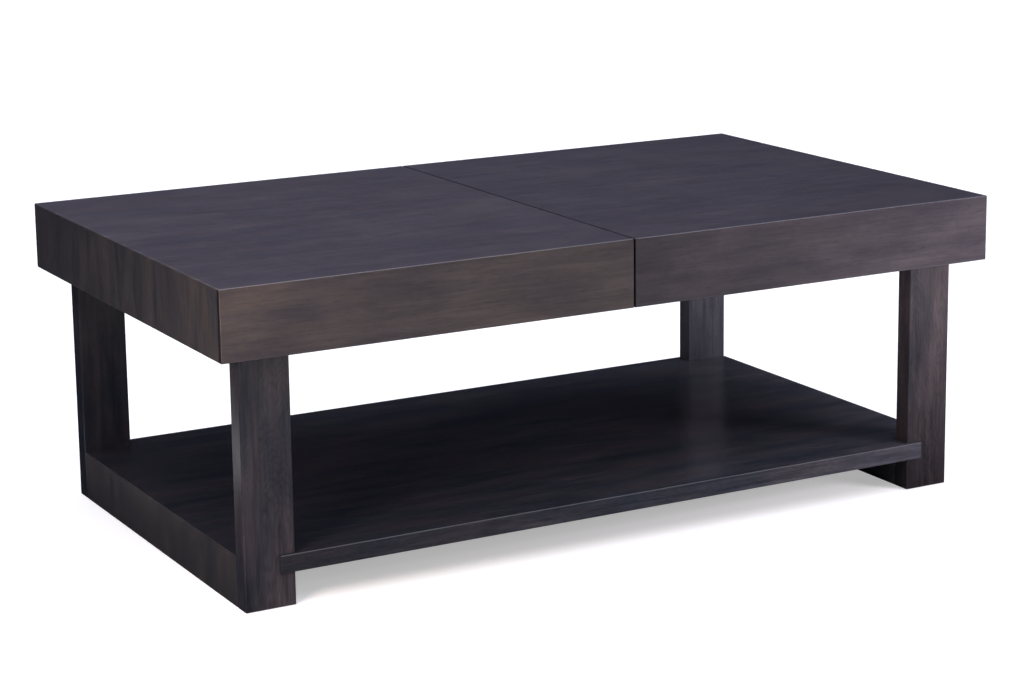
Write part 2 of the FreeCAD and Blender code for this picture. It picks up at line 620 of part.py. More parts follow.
def cross_tube():
    """Ties the left half's two front arms together."""
    start = UNITS["left_outer"][0] + ARM_X1
    length = UNITS["left_inner"][0] - ARM_X1 - start
    y = PIVOT_Y + TUBE_REACH
    tube = rod(ALONG_X, start, y, PIVOT_Z, TUBE_RADIUS, length)
    return tube.cut(rod(ALONG_X, start, y, PIVOT_Z, TUBE_RADIUS - TUBE_WALL, length))


def spring():
    """The stretched extension spring as a plain sleeve with a loop at each end."""
    start_y = CRANK_END[0] + LOOP_RADIUS - STUD_RADIUS - SPRING_WIRE - 0.1
    start = Vector(SPRING_OFFSET, start_y, CRANK_END[1])
    end = Vector(SPRING_OFFSET, SPRING_ANCHOR_Y, SPRING_ANCHOR_Z)
    along = (end - start).normalize()
    neck = LOOP_RADIUS + 3.0
    body_start, body_end = start + along * neck, end - along * neck
    length = (body_end - body_start).Length
    sleeve = Part.makeCylinder(SPRING_RADIUS, length, body_start, along)
    bore = SPRING_RADIUS - 2 * SPRING_WIRE
    sleeve = sleeve.cut(Part.makeCylinder(bore, length - 4, body_start + along * 2, along))
    loops = [Part.makeTorus(LOOP_RADIUS, SPRING_WIRE, centre, ALONG_X) for centre in (start, end)]
    necks = [Part.makeCylinder(SPRING_WIRE, neck - LOOP_RADIUS + 1, start + along * LOOP_RADIUS, along),
             Part.makeCylinder(SPRING_WIRE, neck - LOOP_RADIUS + 1, end - along * LOOP_RADIUS, along * -1)]
    return sleeve.fuse(loops + necks).removeSplitter()


# ---------------------------------------------------------------- build
def build_base():
    for name, shape in zip(("front_left", "back_left", "front_right", "back_right"), four_corners(leg())):
        save("leg_" + name, shape)
    save("floor_glides", *four_corners(glide()))
    save("shelf_panel", shelf())
    panel, rail = shelf_end_panel(), shelf_inner_rail()
    save("shelf_end_panel_left", panel)
    save("shelf_end_panel_right", mirrored_x(panel))
    save("shelf_inner_rail_left", rail)
    save("shelf_inner_rail_right", mirrored_x(rail))
    bolts, washers, inserts = leg_fasteners()
    save("leg_bolts_and_washers", *[c for s in bolts + washers for c in four_corners(s)])
    save("leg_inserts", *[c for s in inserts for c in four_corners(s)])
    long_rail, end_rail = case_long_rail(), case_end_rail()
    save("case_front_rail", long_rail)
    save("case_back_rail", mirrored_y(long_rail))
    save("case_end_rail_left", end_rail)
    save("case_end_rail_right", mirrored_x(end_rail))
    save("case_divider", case_divider())
    save("case_bottom_panel", case_floor())
    save("rest_pads", *rest_pads())
    lower = [rod(ALONG_Y, x, -LEG_Y0 - DOWEL_IN_LEG, z, DOWEL_RADIUS, DOWEL_IN_LEG + DOWEL_IN_RAIL)
             for x, z in lower_dowel_places()]
    upper = [case_dowel(-1, z) for z in CASE_DOWEL_HEIGHTS]
    save("dowels", *[c for s in lower + upper for c in four_corners(s)])


def build_lifts():
    plate = base_plate()
    for unit in UNITS:
        save("lift_base_plate_" + unit, placed(plate, unit))
    save("lift_stop_studs", *[placed(stop_stud(), u) for u in UNITS])
    save("lift_base_rivets", *[placed(r, u) for u in UNITS for r in base_rivets()])
    save("lift_base_washers", *[placed(w, u) for u in UNITS for w in base_washers()])
    save("lift_plate_screws", *[s for u in UNITS for s in plate_screws(u)])
    for half in ("left", "right"):
        units = [half + "_outer", half + "_inner"]
        for unit in units:
            save(unit + "_front_arm", placed(front_arm(), unit))
            save(unit + "_rear_arm", placed(rear_arm(), unit))
            save(unit + "_top_bracket", placed(top_bracket(), unit))
        save(half + "_front_top_rivets", *[placed(front_top_rivet(), u) for u in units])
        save(half + "_rear_top_rivets", *[placed(rear_top_rivet(), u) for u in units])
        save(half + "_springs", *[placed(spring(), u) for u in units])


def build_tops():
    boards = dict(zip(("top_panel", "front_apron", "back_apron", "end_apron"), top_boards()))
    screws = [moved(bracket_screw(), x, y) for x, y in bracket_screw_places()]
    tube, blocks = cross_tube(), corner_blocks()
    for half in ("left", "right"):
        turned = mirrored_x if half == "right" else (lambda s: s)
        for name, board in boards.items():
            save(half + "_" + name, turned(board))
        save(half + "_corner_blocks", *[turned(b) for b in blocks])
        save(half + "_bracket_screws", *[turned(s) for s in screws])
        save(half + "_cross_tube", turned(tube))


os.makedirs("parts", exist_ok=True)
build_base()
build_lifts()
build_tops()
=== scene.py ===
import math

import bmesh
import bpy
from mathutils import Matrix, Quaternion, Vector


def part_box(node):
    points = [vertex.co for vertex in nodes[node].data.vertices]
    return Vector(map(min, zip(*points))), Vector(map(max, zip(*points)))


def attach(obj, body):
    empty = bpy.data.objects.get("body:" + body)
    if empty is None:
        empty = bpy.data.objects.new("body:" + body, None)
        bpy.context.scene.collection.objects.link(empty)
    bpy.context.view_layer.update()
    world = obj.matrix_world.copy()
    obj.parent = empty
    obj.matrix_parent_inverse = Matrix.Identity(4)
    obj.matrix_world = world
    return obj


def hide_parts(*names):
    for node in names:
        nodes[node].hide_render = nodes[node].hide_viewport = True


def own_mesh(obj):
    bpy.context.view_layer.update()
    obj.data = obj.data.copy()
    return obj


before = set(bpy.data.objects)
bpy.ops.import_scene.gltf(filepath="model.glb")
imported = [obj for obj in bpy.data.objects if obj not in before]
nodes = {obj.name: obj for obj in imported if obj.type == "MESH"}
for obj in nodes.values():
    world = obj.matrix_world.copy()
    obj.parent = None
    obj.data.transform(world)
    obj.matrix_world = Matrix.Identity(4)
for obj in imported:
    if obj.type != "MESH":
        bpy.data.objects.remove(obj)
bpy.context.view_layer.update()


# ---------------------------------------------------------------- node helpers
BEVEL_FLAT, BEVEL_SHARP = 0.004, 0.09     # lean of the bevelled normal, on a flat and at an edge
MOST = (0.3, 0.7)                         # the range that holds most of a noise


class Shader:
    """A material with a Principled shader, and short calls for the nodes that feed it."""

    def __init__(self, name, **sockets):
        self.material = bpy.data.materials.new(name)
        self.material.use_nodes = True
        self.tree = self.material.node_tree
        self.principled = self.tree.nodes["Principled BSDF"]
        for socket, value in sockets.items():
            self.principled.inputs[socket.replace("_", " ")].default_value = value
        self.place = self.tree.nodes.new("ShaderNodeTexCoord").outputs["Object"]

    def put(self, socket, value):
        """Feeds a node's socket with another node's output, or sets it."""
        if isinstance(value, bpy.types.NodeSocket):
            self.tree.links.new(value, socket)
        else:
            socket.default_value = value

    def node(self, kind, **settings):
        made = self.tree.nodes.new(kind)
        for key, value in settings.items():
            setattr(made, key, value)
        return made

    def scaled(self, scale, source=None):
        mapping = self.node("ShaderNodeMapping")
        self.put(mapping.inputs["Vector"], source or self.place)
        self.put(mapping.inputs["Scale"], scale)
        return mapping.outputs["Vector"]

    def noise(self, where, detail, roughness, distortion=0.0, scale=1.0):
        made = self.node("ShaderNodeTexNoise")
        self.put(made.inputs["Vector"], where)
        self.put(made.inputs["Scale"], scale)
        self.put(made.inputs["Detail"], detail)
        self.put(made.inputs["Roughness"], roughness)
        self.put(made.inputs["Distortion"], distortion)
        return made.outputs["Fac"]

    def span(self, value, low, high, to_low=0.0, to_high=1.0):
        """Maps low..high to to_low..to_high, and stops at both ends."""
        made = self.node("ShaderNodeMapRange", clamp=True)
        for socket, number in zip(made.inputs, (value, low, high, to_low, to_high)):
            self.put(socket, number)
        return made.outputs["Result"]

    def around(self, value, half, amount):
        """Turns a noise around a half into a factor around one, by half the amount either way."""
        return self.span(value, 0.5 - half, 0.5 + half, 1.0 - amount / 2, 1.0 + amount / 2)

    def calc(self, kind, a, b=0.0):
        made = self.node("ShaderNodeMath", operation=kind)
        self.put(made.inputs[0], a)
        self.put(made.inputs[1], b)
        return made.outputs[0]

    def plus(self, a, b):
        return self.calc("ADD", a, b)

    def times(self, a, b):
        return self.calc("MULTIPLY", a, b)

    def between(self, value, low, high):
        """The colour that lies at the value between two colours."""
        made = self.node("ShaderNodeValToRGB")
        self.put(made.inputs["Fac"], value)
        for element, colour in zip(made.color_ramp.elements, (low, high)):
            element.color = (*colour, 1.0)
        return made.outputs["Color"]

    def mixed(self, fac, a, b):
        made = self.node("ShaderNodeMix", data_type="RGBA")
        self.put(made.inputs["Factor"], fac)
        for key, value in (("A", a), ("B", b)):
            socket = [s for s in made.inputs if s.name == key and s.type == "RGBA"][0]
            self.put(socket, value)
        return [s for s in made.outputs if s.type == "RGBA"][0]

    def off_seam(self):
        """The distance from the plane x = 0, where the two top halves meet."""
        split = self.node("ShaderNodeSeparateXYZ")
        self.put(split.inputs[0], self.place)
        return self.calc("ABSOLUTE", split.outputs["X"])

    def edges(self, radius):
        """How near a point is to a sharp edge, from 0 on a flat to 1 on the edge."""
        bevel = self.node("ShaderNodeBevel", samples=4)
        self.put(bevel.inputs["Radius"], radius)
        geometry = self.node("ShaderNodeNewGeometry")
        dot = self.node("ShaderNodeVectorMath", operation="DOT_PRODUCT")
        self.put(dot.inputs[0], bevel.outputs["Normal"])
        self.put(dot.inputs[1], geometry.outputs["Normal"])
        lean = self.calc("SUBTRACT", 1.0, dot.outputs["Value"])
        return self.span(lean, BEVEL_FLAT, BEVEL_SHARP)

    def bump(self, height, strength, distance, under=None):
        made = self.node("ShaderNodeBump")
        self.put(made.inputs["Strength"], strength)
        self.put(made.inputs["Distance"], distance)
        self.put(made.inputs["Height"], height)
        if under is not None:
            self.put(made.inputs["Normal"], under)
        return made.outputs["Normal"]

    def finish(self, colour=None, roughness=None, normal=None):
        for socket, value in (("Base Color", colour), ("Roughness", roughness), ("Normal", normal)):
            if value is not None:
                self.put(self.principled.inputs[socket], value)
        return self.material


# A board's noises: the scales along its grain, across its width and through it, in cycles per
# metre, then detail, roughness and distortion.
FIBRE = ((11.0, 230.0, 230.0), 3.0, 0.6, 0.0)
BAND = ((2.2, 48.0, 48.0), 4.0, 0.62, 0.2)
PORE = ((60.0, 900.0, 900.0), 1.0, 0.5, 0.0)
BLOTCH = ((6.0, 22.0, 22.0), 5.0, 0.62, 0.15)
SHIMMER = ((60.0, 22.0, 22.0), 3.0, 0.55, 0.0)
DRIFT = ((4.0, 17.0, 17.0), 3.0, 0.5, 0.0)
CLOUD = ((6.0, 6.0, 6.0), 4.0, 0.6, 0.6)
SHIMMER_DEPTH, PORE_DARK = 0.08, 0.72
SEED_ALONG = 1.7                          # shift of the grain along a board, for a seed of one
CROWN_OFF = 0.7                           # how far the arches lie off the middle, in half widths
RING_COUNT, RING_BOW, RING_RISE, RING_DRIFT = 70.0, 0.62, 3.2, 2.2
WOOD_EDGE, STEEL_EDGE = 0.0013, 0.0009    # reach of the painted highlight on wood edges, and of the worn edges on steel
EDGE_HIGHLIGHT = (0.15, 0.65)                     # least and most of the painted highlight colour along an edge
MITRE_SHADE_TONE, MITRE_SOFT = 0.25, 0.0010     # tone of the painted shade line in a mitre groove, and its soft rim
SEAM_LINE, SEAM_DARK = (0.0015, 0.0025), 0.3
SEAM_NO_HIGHLIGHT = (0.004, 0.010)            # edges at the seam get no painted highlight


def board_axes(node, grain):
    """The board's middle, its axes in the order along the grain, across its width and through it,
    and half its length and width."""
    low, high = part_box(node)
    along = "XYZ".index(grain)
    others = (k for k in range(3) if k != along)
    width, thickness = sorted(others, key=lambda k: low[k] - high[k])
    half = (high - low) / 2
    return (low + high) / 2, (along, width, thickness), half[along], half[width]


def board_place(m, middle, axes, seed):
    """The distances along and across a board from its middle, and a point for noise that the seed
    shifts, so that each board has its own stretch of grain."""
    centred = m.node("ShaderNodeVectorMath", operation="SUBTRACT")
    m.put(centred.inputs[0], m.place)
    m.put(centred.inputs[1], middle)
    split = m.node("ShaderNodeSeparateXYZ")
    m.put(split.inputs[0], centred.outputs["Vector"])
    along, across, through = (split.outputs[k] for k in axes)
    joined = m.node("ShaderNodeCombineXYZ")
    shifted = (m.plus(along, SEED_ALONG * seed), across, m.plus(through, seed))
    for socket, value in zip(joined.inputs, shifted):
        m.put(socket, value)
    return along, across, joined.outputs["Vector"]


def growth_rings(m, along, across, drift, half_width, arcs, seed):
    """Arched growth lines whose crown lies off the board's middle."""
    crown = m.plus(across, half_width * CROWN_OFF * math.sin(5.0 * seed))
    bow = m.calc("POWER", m.times(crown, RING_BOW / half_width), 2.0)
    rise = m.times(along, RING_RISE * arcs)
    ring = m.plus(m.plus(bow, rise), m.times(drift, RING_DRIFT))
    return m.span(m.calc("SINE", m.times(ring, RING_COUNT)), -0.1, 1.0)


def wood(node, grain, palette, seed, figure=0.10, streaks=0.55, bands=0.18, blotches=0.30,
         arcs=1.0, painted_light_fade=0.0, joint=0.0, seam=False, gloss=0.34, level=0.5):
    """Stained fine-grained wood under satin lacquer, in the board's own axes: warm and cool
    blotches, fine fibre, arched growth lines, a shimmer across the grain, pores, and a painted
    highlight along sharp edges. The fade is a slow change of tone along the board that paints
    light and shade on it, the mitre width is that of a painted shade line in the mitre grooves at
    its edges, and seam draws the dark line where the two top halves meet."""
    m = Shader(node + "_wood", Specular_IOR_Level=level)
    cool, warm, highlight_colour = palette
    middle, axes, half_length, half_width = board_axes(node, grain)
    along, across, place = board_place(m, middle, axes, seed)

    noises = (FIBRE, BAND, PORE, BLOTCH, SHIMMER, DRIFT, CLOUD)
    fibre, band, pore, blotch, shimmer, drift, cloud = (
        m.noise(m.scaled(scale, place), *settings) for scale, *settings in noises)
    ring = growth_rings(m, along, across, drift, half_width, arcs, seed)

    tone = m.around(fibre, 0.25, streaks)
    tone = m.times(tone, m.around(band, 0.2, bands))
    tone = m.times(tone, m.around(shimmer, 0.2, SHIMMER_DEPTH))
    tone = m.times(tone, m.around(blotch, 0.2, blotches))
    tone = m.times(tone, m.span(ring, 0.0, 1.0, 1.0, 1.0 - figure))
    tone = m.times(tone, m.span(pore, 0.30, 0.40, PORE_DARK, 1.0))
    # painted light and shade: the tone grows lighter towards one end of the board, darker towards
    # the other
    if painted_light_fade:
        tone = m.times(tone, m.span(along, -half_length, half_length, 1.0 - painted_light_fade, 1.0 + painted_light_fade))
    # painted shade: a dark band along both long edges, standing for the shade in the mitre grooves
    if joint:
        rim, inner = m.calc("ABSOLUTE", across), half_width - joint
        tone = m.times(tone, m.span(rim, inner - MITRE_SOFT, inner, 1.0, MITRE_SHADE_TONE))
    # painted highlight: a lighter colour mixed in along sharp edges, stronger in places
    edge_highlight = m.times(m.edges(WOOD_EDGE), m.span(band, 0.35, 0.65, *EDGE_HIGHLIGHT))
    if seam:
        off_seam = m.off_seam()
        tone = m.times(tone, m.span(off_seam, *SEAM_LINE, SEAM_DARK, 1.0))
        edge_highlight = m.times(edge_highlight, m.span(off_seam, *SEAM_NO_HIGHLIGHT))
    toned = m.node("ShaderNodeVectorMath", operation="SCALE")
    m.put(toned.inputs[0], m.between(m.span(blotch, 0.34, 0.66), cool, warm))
    m.put(toned.inputs["Scale"], tone)
    colour = m.mixed(edge_highlight, toned.outputs["Vector"], (*highlight_colour, 1.0))

    rough = m.span(cloud, *MOST, gloss - 0.03, gloss + 0.04)
    rough = m.plus(rough, m.span(fibre, *MOST, -0.02, 0.03))
    normal = m.bump(fibre, 0.05, 0.0006)
    normal = m.bump(pore, 0.08, 0.0004, normal)
    normal = m.bump(cloud, 0.02, 0.0015, normal)
    return m.finish(colour, rough, normal)


def painted_steel(name, base, light, gloss=0.45):
    """Powder coat: fine orange peel, faint dust, bare metal showing where edges rub."""
    m = Shader(name, Metallic=0.0, Specular_IOR_Level=0.5)
    peel = m.noise(m.place, 2.0, 0.5, scale=900.0)
    dust = m.noise(m.place, 5.0, 0.65, 0.5, scale=26.0)
    scratch = m.noise(m.scaled((60.0, 900.0, 900.0)), 3.0, 0.6)
    colour = m.between(m.span(dust, 0.35, 0.7), base, light)
    worn = m.times(m.edges(STEEL_EDGE), m.span(scratch, 0.45, 0.6))
    colour = m.mixed(worn, colour, (0.30, 0.30, 0.31, 1.0))
    rough = m.span(dust, *MOST, gloss - 0.06, gloss + 0.12)
    return m.finish(colour, rough, m.bump(peel, 0.12, 0.0002))


BRUSHED, TURNED = (300.0, 300.0, 300.0), (900.0, 60.0, 900.0)     # scales of the tool marks


def bright_metal(name, base, dull, gloss=0.30, scale=BRUSHED):
    """Plated or turned metal: fine tool marks and a cloudy bloom that is duller and rougher."""
    m = Shader(name, Metallic=1.0)
    marks = m.noise(m.scaled(scale), 4.0, 0.6)
    bloom = m.noise(m.place, 4.0, 0.6, 0.4, scale=70.0)
    colour = m.between(m.span(bloom, *MOST), dull, base)
    rough = m.span(bloom, *MOST, gloss + 0.10, gloss - 0.04)
    rough = m.plus(rough, m.span(marks, *MOST, -0.04, 0.06))
    return m.finish(colour, rough, m.bump(marks, 0.10, 0.0002))


def soft_plastic(name, base, light, gloss=0.55):
    """Moulded plastic or rubber: a fine matt texture with slight scuffs."""
    m = Shader(name, Specular_IOR_Level=0.4)
    texture = m.noise(m.place, 3.0, 0.6, scale=500.0)
    scuff = m.noise(m.place, 5.0, 0.65, 0.5, scale=60.0)
    colour = m.between(m.span(scuff, *MOST), base, light)
    rough = m.span(scuff, *MOST, gloss - 0.05, gloss + 0.15)
    return m.finish(colour, rough, m.bump(texture, 0.25, 0.0003))


# ---------------------------------------------------------------- materials
# The cool and warm colours of each stain, and the colour of the painted highlight on its edges.
PALETTES = {
    "apron": ((0.033, 0.026, 0.031), (0.054, 0.041, 0.037), (0.20, 0.17, 0.17)),
    # painted light: a lighter, pinker copy of the apron stain for the right front apron
    "lit_apron": ((0.038, 0.030, 0.039), (0.058, 0.046, 0.051), (0.22, 0.19, 0.21)),
    "end": ((0.025, 0.026, 0.032), (0.042, 0.036, 0.036), (0.10, 0.09, 0.09)),
    "leg": ((0.0165, 0.0185, 0.0270), (0.0340, 0.0285, 0.0335), (0.10, 0.09, 0.09)),
    # painted shade: a darker copy of the leg stain for the back left leg
    "shaded_leg": ((0.010, 0.012, 0.019), (0.021, 0.019, 0.024), (0.08, 0.07, 0.08)),
    # painted reflection and light: a brighter, bluer copy of the leg stain for the back right leg
    "blue_sheen_leg": ((0.064, 0.068, 0.091), (0.089, 0.084, 0.102), (0.11, 0.11, 0.12)),
    # painted light: a brighter, warmer copy of the leg stain for the front right leg
    "lit_leg": ((0.034, 0.030, 0.038), (0.066, 0.051, 0.055), (0.10, 0.09, 0.09)),
    "top": ((0.050, 0.044, 0.059), (0.061, 0.052, 0.062), (0.22, 0.20, 0.23)),
    # painted shade: a darker copy of the top stain for the right top panel
    "shaded_top": ((0.043, 0.038, 0.052), (0.053, 0.046, 0.056), (0.22, 0.20, 0.23)),
    "shelf": ((0.025, 0.029, 0.041), (0.046, 0.041, 0.047), (0.05, 0.05, 0.06)),
    "inner": ((0.026, 0.021, 0.020), (0.042, 0.032, 0.027), (0.09, 0.07, 0.06)),
    "beech": ((0.40, 0.26, 0.15), (0.52, 0.35, 0.20), (0.55, 0.40, 0.26)),
}

BARE = {"gloss": 0.55, "level": 0.35}
TOP = {"figure": 0.03, "streaks": 0.34, "bands": 0.18, "blotches": 0.04, "seam": True}
APRON = {"arcs": 0.3, "figure": 0.06, "streaks": 0.48, "bands": 0.14, "blotches": 0.18,
         "seam": True}
END = {"figure": 0.05, "streaks": 0.42, "bands": 0.12, "blotches": 0.20}
LEG = {"figure": 0.22, "streaks": 0.70, "bands": 0.20}
# The shelf's fade paints shade on its left end and light on its right end.
SHELF = {"streaks": 0.7, "bands": 0.4, "blotches": 0.12, "painted_light_fade": 0.46, "gloss": 0.20, "level": 0.4}
# A fade above zero paints light towards +X or the top of its board and shade towards the other end;
# one below zero the other way round.
BOARDS = {
    "left_top_panel": ("X", "top", TOP),
    "right_top_panel": ("X", "shaded_top", {**TOP, "painted_light_fade": -0.06}),
    "left_front_apron": ("X", "apron", APRON),
    "right_front_apron": ("X", "lit_apron", {**APRON, "painted_light_fade": 0.34}),
    "back_apron": ("X", "apron", APRON),
    # painted shade in the mitre grooves along the end apron's edges
    "end_apron": ("Z", "end", {**END, "joint": 0.0050}),
    "corner_blocks": ("Z", "inner", BARE),
    "leg_front_left": ("Z", "leg", {**LEG, "painted_light_fade": -0.18}),
    "leg_front_right": ("Z", "lit_leg", {**LEG, "painted_light_fade": 0.56}),
    "leg_back_left": ("Z", "shaded_leg", LEG),
    "leg_back_right": ("Z", "blue_sheen_leg", {**LEG, "figure": 0.10, "painted_light_fade": 0.22}),
    "shelf_panel": ("X", "shelf", SHELF),
    "shelf_end_panel_left": ("Z", "end", END),
    "shelf_end_panel_right": ("Z", "end", END),
    "shelf_inner_rail_left": ("Y", "end", {}),
    "shelf_inner_rail_right": ("Y", "end", {}),
    "case_front_rail": ("X", "inner", BARE),
    "case_back_rail": ("X", "inner", BARE),
    "case_end_rail_left": ("Y", "inner", BARE),
    "case_end_rail_right": ("Y", "inner", BARE),
    "case_divider": ("Y", "inner", BARE),
    "case_bottom_panel": ("X", "inner", BARE),
    "dowels": ("Y", "beech", BARE),
}


BOARD_STEP, HALF_STEP = 0.83, 3.1     # how far apart in the noise two boards' grain is


def make_woods():
    """One material for each board, so that no two boards share a stretch of grain."""
    made = {}
    for number, (kind, (grain, palette, settings)) in enumerate(BOARDS.items()):
        places = [kind] if kind in nodes else ["left_" + kind, "right_" + kind]
        for turn, node in enumerate(places):
            seed = BOARD_STEP * number + HALF_STEP * turn
            made[node] = wood(node, grain, PALETTES[palette], seed, **settings)
    return made


def make_fittings():
    """The materials of the hardware, by the name of the node that wears them."""
    black = painted_steel("lift_black", (0.012, 0.012, 0.013), (0.028, 0.028, 0.030))
    zinc = bright_metal("zinc_plate", (0.66, 0.66, 0.67), (0.40, 0.40, 0.42))
    brass = bright_metal("turned_brass", (0.72, 0.53, 0.24), (0.48, 0.33, 0.13), 0.25, TURNED)
    wire = bright_metal("spring_wire", (0.42, 0.42, 0.43), (0.20, 0.20, 0.21), 0.33)
    glide = soft_plastic("glide_nylon", (0.25, 0.24, 0.23), (0.38, 0.37, 0.35))
    pad = soft_plastic("pad_rubber", (0.018, 0.018, 0.018), (0.045, 0.045, 0.045), 0.7)
    made = {"floor_glides": glide, "rest_pads": pad, "leg_inserts": brass}
    steel = ("_arm", "_top_bracket", "_cross_tube")
    for name in nodes:
        if name.endswith("_springs"):
            made[name] = wire
        elif name.startswith("lift_base_plate") or name.endswith(steel):
            made[name] = black
        elif name.startswith("lift_") or name.endswith(("_rivets", "_screws", "_washers")):
            made[name] = zinc
    return made


def dress(materials):
    """Gives every carried-over CAD node its material."""
    for name, piece in nodes.items():
        piece.data.materials.clear()
        piece.data.materials.append(materials[name])


# ---------------------------------------------------------------- springs
COIL_RADIUS, WIRE_RADIUS, COILS = 0.0056, 0.0009, 72
SPRING_RADIUS = COIL_RADIUS + WIRE_RADIUS
SPRING_STUD = (-0.1890, 0.4015)       # centre of the front loop at rest, in Y and Z
SPRING_EAR = (0.0150, 0.4045)         # centre of the rear loop
LOOP_RADIUS, LOOP_NECK = 0.0052, 0.003
COIL_STEPS, EAR_STEPS, STUD_STEPS = 14, 25, 24          # points in one turn of the wire
TAPER, THINNEST = 60, 0.15            # how fast the coil widens at its ends, and from what share


def stud_loop(x):
    """The front loop of the wire, round the stud on the crank."""
    centre = Vector((x, *SPRING_STUD))
    turns = [2 * math.pi * k / STUD_STEPS for k in range(STUD_STEPS)]
    return [centre + LOOP_RADIUS * Vector((0.0, math.cos(a), math.sin(a))) for a in turns]


def spring_line(x):
    """The wire's path from the front loop: close coils, and a loop through the ear."""
    start, end = Vector((x, *SPRING_STUD)), Vector((x, *SPRING_EAR))
    along = (end - start).normalized()
    side = Vector((1, 0, 0))
    up = side.cross(along)
    points = [start + along * LOOP_RADIUS]
    neck = along * (LOOP_RADIUS + LOOP_NECK)
    first, last = start + neck, end - neck
    steps = COILS * COIL_STEPS
    for k in range(steps + 1):
        share = k / steps
        turn = 2 * math.pi * COILS * share
        radius = COIL_RADIUS * min(1.0, share * TAPER + THINNEST, (1 - share) * TAPER + THINNEST)
        centre = first.lerp(last, share)
        points.append(centre + radius * (math.cos(turn) * side + math.sin(turn) * up))
    for k in range(EAR_STEPS + 1):
        turn = 2 * math.pi * k / EAR_STEPS
        points.append(end - LOOP_RADIUS * (math.cos(turn) * along + math.sin(turn) * up))
    return points


def wire_along(points, ring=False, sides=7):
    """A wire that follows the points: capped at both ends, or joined up into a ring."""
    bm = bmesh.new()
    rings = []
    normal = Vector((0.3, 0.5, 0.8)).normalized()      # any direction but the wire's own
    last = len(points) - 1
    for k, point in enumerate(points):
        after = (k + 1) % len(points) if ring else min(k + 1, last)
        before = k - 1 if ring else max(k - 1, 0)
        ahead = (points[after] - points[before]).normalized()
        normal = (normal - ahead * normal.dot(ahead)).normalized()
        other = ahead.cross(normal)
        angles = [2 * math.pi * s / sides for s in range(sides)]
        spokes = [math.cos(a) * normal + math.sin(a) * other for a in angles]
        rings.append([bm.verts.new(point + WIRE_RADIUS * spoke) for spoke in spokes])
    for a, b in zip(rings, rings[1:] + rings[:1] if ring else rings[1:]):
        for s in range(sides):
            t = (s + 1) % sides
            bm.faces.new((a[s], a[t], b[t], b[s]))
    if not ring:
        bm.faces.new(list(reversed(rings[0])))
        bm.faces.new(rings[-1])
    bmesh.ops.recalc_face_normals(bm, faces=bm.faces)
    for face in bm.faces:
        face.smooth = True
    mesh = bpy.data.meshes.new("spring")
    bm.to_mesh(mesh)
    bm.free()
    return mesh


def add_wire(name, points, wire, ring=False):
    piece = bpy.data.objects.new(name, wire_along(points, ring))
    bpy.context.collection.objects.link(piece)
    piece.data.materials.append(wire)
    return piece


def make_springs(wire):
    """Four coils with their rear loops, which stay fixed to the base, and four front loops,
    which stay on the cranks."""
    for half in ("left", "right"):
        low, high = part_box(half + "_springs")
        for tag, x in (("a", low[0] + SPRING_RADIUS), ("b", high[0] - SPRING_RADIUS)):
            piece = add_wire(f"{half}_spring_{tag}", spring_line(x), wire)
            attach(piece, "table_base")
            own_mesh(piece)
            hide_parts(half + "_springs")
            loop = add_wire(f"{half}_spring_loop_{tag}", stud_loop(x), wire, ring=True)
            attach(loop, half + "_front_arms")


# ---------------------------------------------------------------- stage
FLOOR_REACH = 14.0
FLOOR_GLOW = 0.40            # extra brightness of the floor, that only the camera sees
FLOOR_GREY, FLOOR_GREY_HIGH = (0.73,) * 3, (0.76,) * 3
ROOM_LOW, ROOM_HIGH = (0.010, 0.012, 0.022), (0.50, 0.53, 0.70)
ROOM_STOPS = (0.45, 0.90)    # the Z of the directions in which the room has those two colours
ROOM_SIDE = (0.42, 0.62, 1.0, 0.45)      # from and to in X, and the brightness at each
BACKDROP = (0.92, 0.92, 0.92, 1.0)       # what the camera sees instead of the room


def make_floor():
    bm = bmesh.new()
    bmesh.ops.create_grid(bm, x_segments=1, y_segments=1, size=FLOOR_REACH)
    mesh = bpy.data.meshes.new("floor")
    bm.to_mesh(mesh)
    bm.free()
    floor = bpy.data.objects.new("floor", mesh)
    bpy.context.collection.objects.link(floor)
    m = Shader("floor_paper", Specular_IOR_Level=0.0, Roughness=1.0)
    m.put(m.principled.inputs["Emission Color"], (1.0, 1.0, 1.0, 1.0))
    path = m.node("ShaderNodeLightPath")
    glow = m.times(path.outputs["Is Camera Ray"], FLOOR_GLOW)
    m.put(m.principled.inputs["Emission Strength"], glow)
    cloud = m.noise(m.place, 3.0, 0.5, scale=1.5)
    paper = m.between(cloud, FLOOR_GREY, FLOOR_GREY_HIGH)
    floor.data.materials.append(m.finish(paper))
    floor.visible_glossy = False


def area_light(name, place, target, size, power, colour, mirrored=True):
    """A rectangular lamp that the camera doesn't see, and that gloss shows only if mirrored."""
    data = bpy.data.lights.new(name, "AREA")
    data.shape = "RECTANGLE"
    data.size, data.size_y = size
    data.energy = power
    data.color = colour
    light = bpy.data.objects.new(name, data)
    light.location = place
    light.rotation_mode = "QUATERNION"
    light.rotation_quaternion = (Vector(target) - Vector(place)).to_track_quat("-Z", "Y")
    light.visible_camera = False
    light.visible_glossy = mirrored
    bpy.context.collection.objects.link(light)


def direction(azimuth, elevation):
    """Towards a place that is seen from the table: azimuth 0 is in front and 90 at its right."""
    a, e = math.radians(azimuth), math.radians(elevation)
    return Vector((math.sin(a) * math.cos(e), -math.cos(a) * math.cos(e), math.sin(e)))


def sun(name, azimuth, elevation, strength, spread, colour):
    """Even light from far away."""
    data = bpy.data.lights.new(name, "SUN")
    data.energy = strength
    data.angle = math.radians(spread)
    data.color = colour
    light = bpy.data.objects.new(name, data)
    light.rotation_mode = "QUATERNION"
    light.rotation_quaternion = (-direction(azimuth, elevation)).to_track_quat("-Z", "Y")
    bpy.context.collection.objects.link(light)


